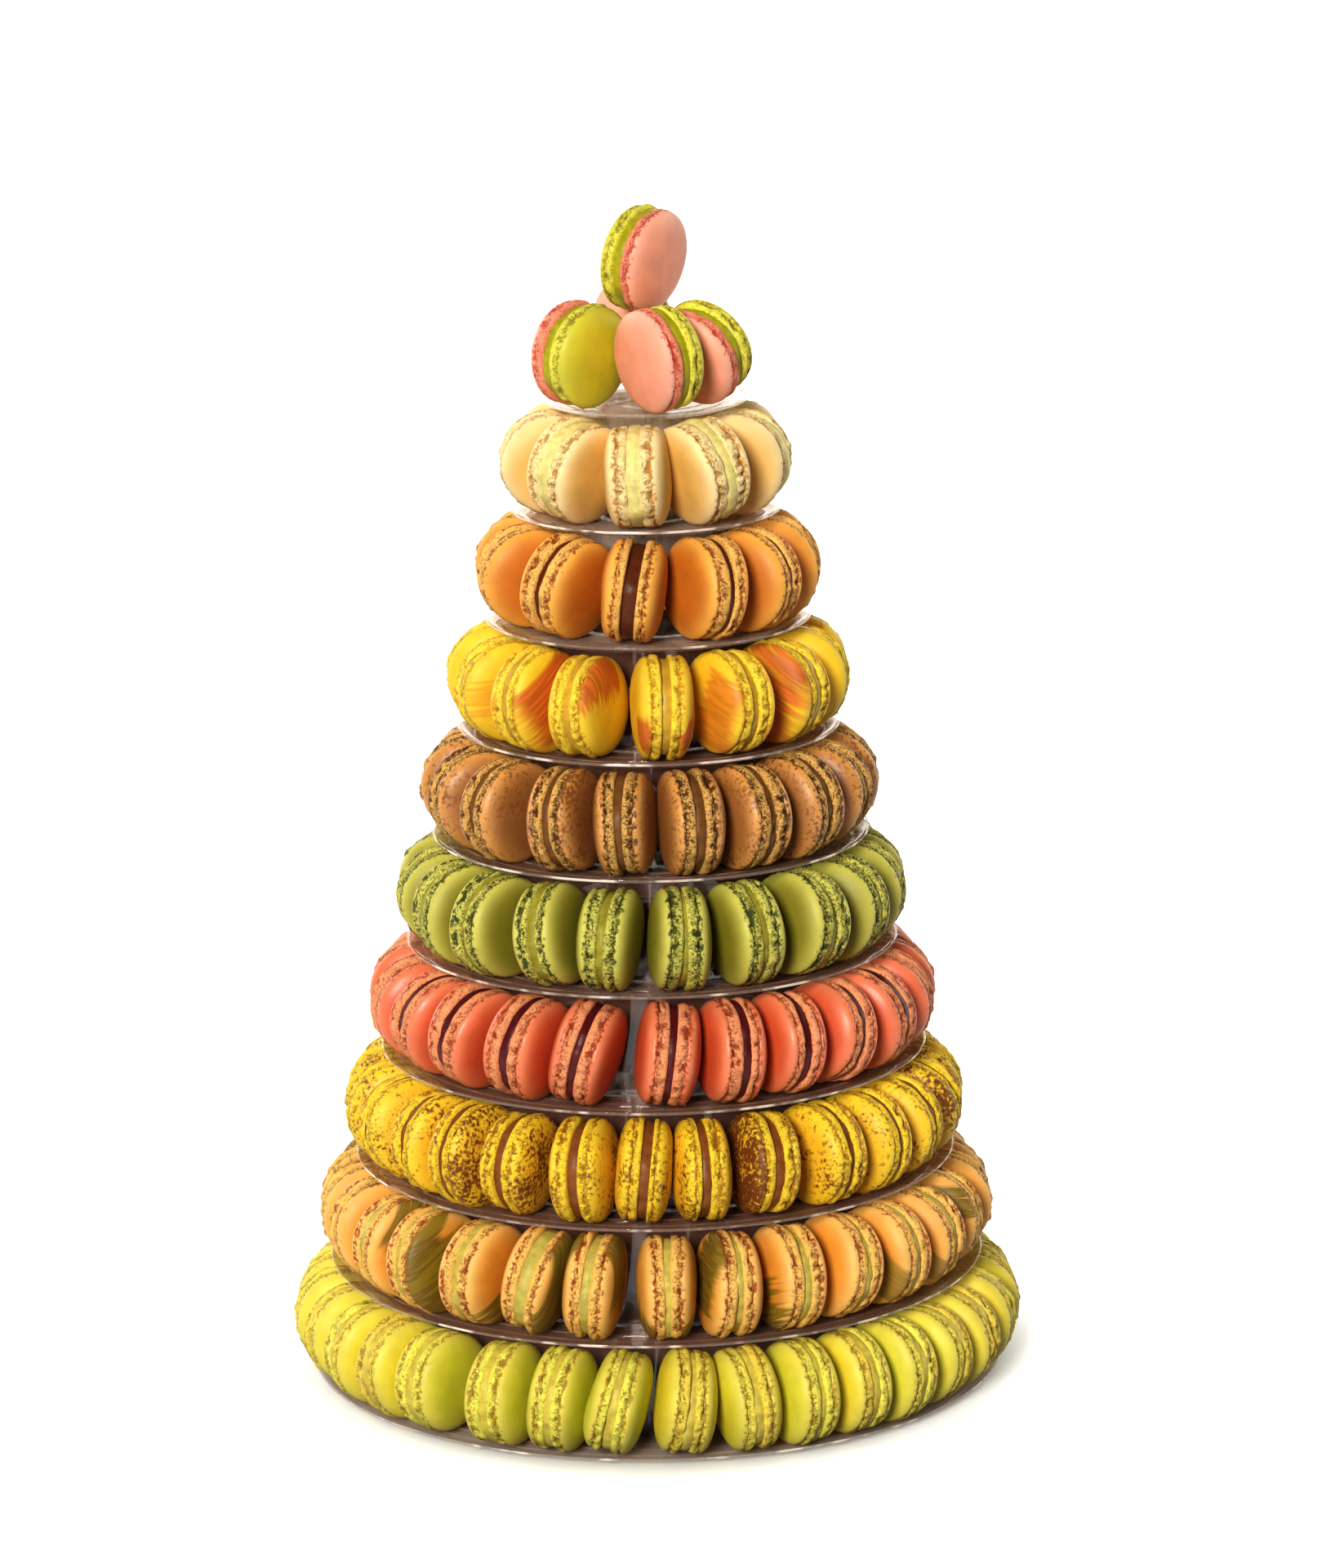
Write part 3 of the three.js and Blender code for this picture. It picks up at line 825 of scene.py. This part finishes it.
def clear_material(name, plastic):
    """Clear plastic, with a tint that paints the light and shade seen in it, denser at a slant and in
    patches that paint glints, slightly wavy.
    """
    material, tree, shader = new_material(name, CLEAR_SHINE)
    shader.inputs["Base Color"].default_value = linear(plastic["tint"])
    wavy = noise_value(tree, node(tree, "ShaderNodeTexCoord").outputs["Object"], *CLEAR_WAVES)
    slant = node(tree, "ShaderNodeLayerWeight", Blend=CLEAR_SLANT_BLEND).outputs["Facing"]
    square = plastic["square"]
    opacity = calculated(tree, "MULTIPLY_ADD", slant, plastic["slant"] - square, square)
    # Patches of added opacity in the tint paint glints.
    patches = stepped(tree, wavy, *CLEAR_GLINT_STEP)
    opacity = calculated(tree, "MULTIPLY_ADD", patches, plastic["painted_glints"], opacity)
    tree.links.new(opacity, shader.inputs["Alpha"])
    roughened(tree, shader, wavy, plastic["roughness"], CLEAR_ROUGHNESS_SPREAD)
    bumped(tree, shader, wavy, *CLEAR_BUMP)
    return material


def shell_materials(name):
    """Materials of a shell in the order of its slots."""
    return [dome_material(name, LOOKS[name]), foot_material(name, LOOKS[name])]


def finished(piece, slot, *nodes):
    """Fixes a piece to the tower's one body in place of the nodes that it stands for."""
    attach(piece, "root")
    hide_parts(*nodes)


def add_rings():
    """The nine rings of macarons, one piece for the shells and one for the fillings of each."""
    for i, tier in enumerate(TIERS):
        name = tier["look"]
        look = LOOKS[name]
        shells = Soup()
        fillings = Soup()
        for item in ring_layout(tier, ring_radius_of(i), TIER_PITCH * i + WALL):
            add_macaron((shells, shells), fillings, item, (look, look))
        piece = shells.mesh(f"{name}_shells", shell_materials(name))
        finished(piece, f"{name}_shell", f"ring_{i + 1}")
        piece = fillings.mesh(f"{name}_fillings", [filling_material(name, look)])
        finished(piece, "filling", f"ring_{i + 1}")


def add_top_pile():
    """The five macarons on the top tray, each with a pink and a green shell."""
    base = TIER_PITCH * len(TIERS)
    pink = Soup()
    green = Soup()
    fillings = Soup()
    pink_nodes = []
    green_nodes = []
    filling_nodes = []
    for number, pile in enumerate(TOP_PILE, 1):
        centre = np.array(pile["at"], dtype=float) + np.array([0, 0, base])
        half = pile["thickness"] / 2
        item = dict(axes=directions(pile["turn"], pile["lean"]), centre=centre, halves=[half, half],
                    crowding=0.0, gape=0.0, marks={}, seen=True)
        looks = [LOOKS["pink"], LOOKS["green"]]
        soups = [pink, green]
        nodes = [f"top_{number}_shell_a", f"top_{number}_shell_b"]
        if pile["pink"] > 0:
            looks.reverse()
            soups.reverse()
            nodes.reverse()
        add_macaron(soups, fillings, item, looks)
        pink_nodes.append(nodes[0])
        green_nodes.append(nodes[1])
        filling_nodes.append(f"top_{number}_filling")
    finished(pink.mesh("pink_shells", shell_materials("pink")), "pink_shell", *pink_nodes)
    finished(green.mesh("green_shells", shell_materials("green")), "green_shell", *green_nodes)
    cream = filling_material("green", LOOKS["green"])
    finished(fillings.mesh("top_fillings", [cream]), "filling", *filling_nodes)


def lip_parts(lip, inside):
    """Profile of a lip from the underside to the floor: wall and rim parts by turns."""
    foot = lip - LIP_FLARE
    heel = [(foot + out, up) for out, up in LIP_HEEL]
    outside = (lip + LIP_OUTSIDE[0], LIP_HEIGHT + LIP_OUTSIDE[1])
    bead = [(lip + out, LIP_HEIGHT + up) for out, up in LIP_BEAD]
    inner = [(lip + out, LIP_HEIGHT + up) for out, up in LIP_INSIDE]
    toe = (foot + LIP_TOE[0], WALL + LIP_TOE[1])
    return [
        [(inside, 0.0), heel[0]],
        heel,
        [heel[-1], outside, bead[0]],
        bead,
        [bead[-1], *inner, toe, (foot, WALL)],
    ]


def floor_parts(outer, inner):
    """Profile of a floor from the outside in: flat parts and low ridges by turns."""
    parts = []
    edge = outer
    crest = WALL + FLOOR_RIDGE
    for k in range(FLOOR_RIDGES):
        at = outer + (inner - outer) * (k + RIDGE_START) / FLOOR_RIDGES
        ridge = [(at + RIDGE_HALF, WALL), (at + RIDGE_CREST_HALF, crest),
                 (at - RIDGE_CREST_HALF, crest), (at - RIDGE_HALF, WALL)]
        parts += [[(edge, WALL), ridge[0]], ridge]
        edge = at - RIDGE_HALF
    return parts + [[(edge, WALL), (inner, WALL)]]


def crown_profile(crown, top):
    """Profile of a hollow crown: up its outside, over its flange and down its inside."""
    head = crown - CROWN_DRAFT
    low = WALL + CROWN_BEND
    high = top - CROWN_BEND
    return [
        (crown, WALL), (crown - CROWN_EASE, low), (head + CROWN_EASE, high), (head, top),
        (head - FLANGE, top), (head - FLANGE, top - WALL),
        (head - WALL, top - WALL), (head - WALL + CROWN_EASE, high),
        (crown - WALL - CROWN_EASE, low), (crown - WALL, 0.0),
    ]


def turned(soup, profile, base, slot, fluted=(0.0, 0.0)):
    """A profile spun about the tower's axis; walls between the fluted heights are fluted."""
    turn = turning(TRAY_SEGMENTS)
    flute = FLUTE_DEPTH * np.cos(FLUTES * turn)
    rows = []
    for radius, height in profile:
        share = 1.0 if fluted[0] < height < fluted[1] else 0.0
        reach = radius + flute * share * min(radius / FLUTE_FULL_RADIUS, 1)
        rows.append(circle_row(turn, reach, base + height))
    soup.add(np.stack(rows), True, slot)


def add_ring_tray(soup, i, base):
    """Crown of a ring's tray; gives the parts of its lip and floor."""
    ring_radius = ring_radius_of(i)
    lip = BASE_LIP_RADIUS if i == 0 else ring_radius + LIP_BEYOND_RING
    crown = ring_radius - CROWN_INSIDE_RING
    top = TIER_PITCH - GAP
    slot = PALE_SLOT if i >= PALE_TRAYS else CROWN_SLOT
    fluted = (WALL + FLUTE_CLEAR_BELOW, top - FLUTE_CLEAR_ABOVE)
    turned(soup, crown_profile(crown, top), base, slot, fluted)
    return lip_parts(lip, crown - WALL), floor_parts(lip - LIP_FLARE, crown)


def add_top_tray(soup, base):
    """Hollow post of the top tray; gives the parts of its lip and floor."""
    hollow = POST_BASE_RADIUS - WALL
    inside_top = POST_HEIGHT - WALL
    outside = [(POST_BASE_RADIUS, WALL), (POST_TOP_RADIUS, POST_HEIGHT), (POST_TIP, POST_HEIGHT)]
    inside = [(POST_TIP, inside_top), (POST_TOP_RADIUS - WALL, inside_top), (hollow, 0.0)]
    turned(soup, outside, base, WALL_SLOT)
    turned(soup, inside, base, WALL_SLOT)
    return lip_parts(TOP_LIP_RADIUS, hollow), floor_parts(TOP_LIP_RADIUS - LIP_FLARE, POST_BASE_RADIUS)


def add_trays():
    """The clear trays; the upper ones, with more light behind them, take a paler tint that paints that
    light.
    """
    clear = [clear_material(name, plastic) for name, plastic in CLEAR_PLASTICS.items()]
    for i in range(len(TIERS) + 1):
        soup = Soup()
        base = TIER_PITCH * i
        if i < len(TIERS):
            lip, flat = add_ring_tray(soup, i, base)
            lip_slot = WALL_SLOT
        else:
            lip, flat = add_top_tray(soup, base)
            lip_slot = PALE_SLOT
        for k, part in enumerate(lip):
            turned(soup, part, base, RIM_SLOT if k % 2 else lip_slot)
        flat_slot = PALE_SLOT if i >= PALE_TRAYS else WALL_SLOT
        for k, part in enumerate(flat):
            turned(soup, part, base, RIDGE_SLOT if k % 2 else flat_slot)
        piece = soup.mesh(f"clear_tray_{i + 1}", clear)
        finished(piece, "clear_tray", f"tray_{i + 1}")


def add_floor():
    """A plain pale floor that glows evenly bright, except close round the tower, where the glow fades out
    as painted shade.
    """
    bpy.ops.mesh.primitive_plane_add(size=FLOOR_SIZE, location=FLOOR_AT)
    floor = bpy.context.object
    floor.name = "floor"
    material, tree, shader = new_material("pale_floor", 0.0)
    shader.inputs["Roughness"].default_value = FLOOR_ROUGHNESS
    shader.inputs["Base Color"].default_value = FLOOR_COLOUR
    shader.inputs["Emission Color"].default_value = FLOOR_COLOUR
    place = node(tree, "ShaderNodeNewGeometry").outputs["Position"]
    radius = node(tree, "ShaderNodeVectorMath", [("Vector", place)], operation="LENGTH").outputs["Value"]
    # Painted shade: no glow close round the tower, full glow further out.
    glow = calculated(tree, "MULTIPLY", stepped(tree, radius, *SHADE_RADII), FLOOR_GLOW)
    tree.links.new(glow, shader.inputs["Emission Strength"])
    floor.data.materials.append(material)
    floor.visible_diffuse = False


def add_world():
    """A weak warm light from all round."""
    world = bpy.data.worlds.new("studio")
    world.use_nodes = True
    background = world.node_tree.nodes["Background"]
    background.inputs["Color"].default_value = WORLD_COLOUR
    background.inputs["Strength"].default_value = WORLD_STRENGTH
    bpy.context.scene.world = world


def add_sun(name, origin, strength, angle):
    """A soft light from far away."""
    data = bpy.data.lights.new(name, "SUN")
    data.energy = strength
    data.color = WARM
    data.angle = radians(angle)
    sun = bpy.data.objects.new(name, data)
    sun.rotation_euler = Vector(origin).to_track_quat("Z", "Y").to_euler()
    bpy.context.scene.collection.objects.link(sun)


def add_box(name, turn):
    """A soft box in front of the tower that draws bright lines along the clear lips."""
    data = bpy.data.lights.new(name, "AREA")
    data.shape = "RECTANGLE"
    data.color = WARM
    data.size = BOX_SIZE[0]
    data.size_y = BOX_SIZE[1]
    data.energy = BOX_POWER
    light = bpy.data.objects.new(name, data)
    at = Vector((BOX_DISTANCE * sin(radians(turn)), -BOX_DISTANCE * cos(radians(turn)), BOX_HEIGHT))
    light.location = at
    light.rotation_euler = (at - Vector(BOX_AIM)).to_track_quat("Z", "Y").to_euler()
    bpy.context.scene.collection.objects.link(light)


def add_camera():
    """The camera at the photograph's viewing angle."""
    data = bpy.data.cameras.new("camera")
    data.sensor_width = SENSOR
    data.lens = FOCAL_PIXELS / IMAGE_LONG_SIDE * SENSOR
    data.clip_end = CLIP_END
    camera = bpy.data.objects.new("camera", data)
    bpy.context.scene.collection.objects.link(camera)
    tilt = Matrix.Rotation(radians(90 - CAMERA_PITCH), 4, "X")
    roll = Matrix.Rotation(radians(CAMERA_ROLL), 4, "Z")
    camera.matrix_world = Matrix.Translation(CAMERA_AT) @ tilt @ roll
    bpy.context.scene.camera = camera


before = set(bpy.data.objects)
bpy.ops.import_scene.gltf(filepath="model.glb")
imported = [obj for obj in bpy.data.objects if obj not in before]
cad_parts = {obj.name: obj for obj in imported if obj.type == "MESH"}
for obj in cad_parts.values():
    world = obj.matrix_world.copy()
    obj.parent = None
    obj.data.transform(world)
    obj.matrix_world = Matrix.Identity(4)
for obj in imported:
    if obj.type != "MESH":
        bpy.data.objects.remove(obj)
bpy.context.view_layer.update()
add_rings()
add_top_pile()
add_trays()
add_floor()
add_world()
for sun_name, sun in SUNS.items():
    add_sun(sun_name, **sun)
for box_number, box_turn in enumerate(BOX_TURNS, 1):
    add_box(f"soft_box_{box_number}", box_turn)
add_camera()
bpy.context.scene.view_settings.view_transform = "Standard"
bpy.context.scene.view_settings.gamma = DISPLAY_GAMMA
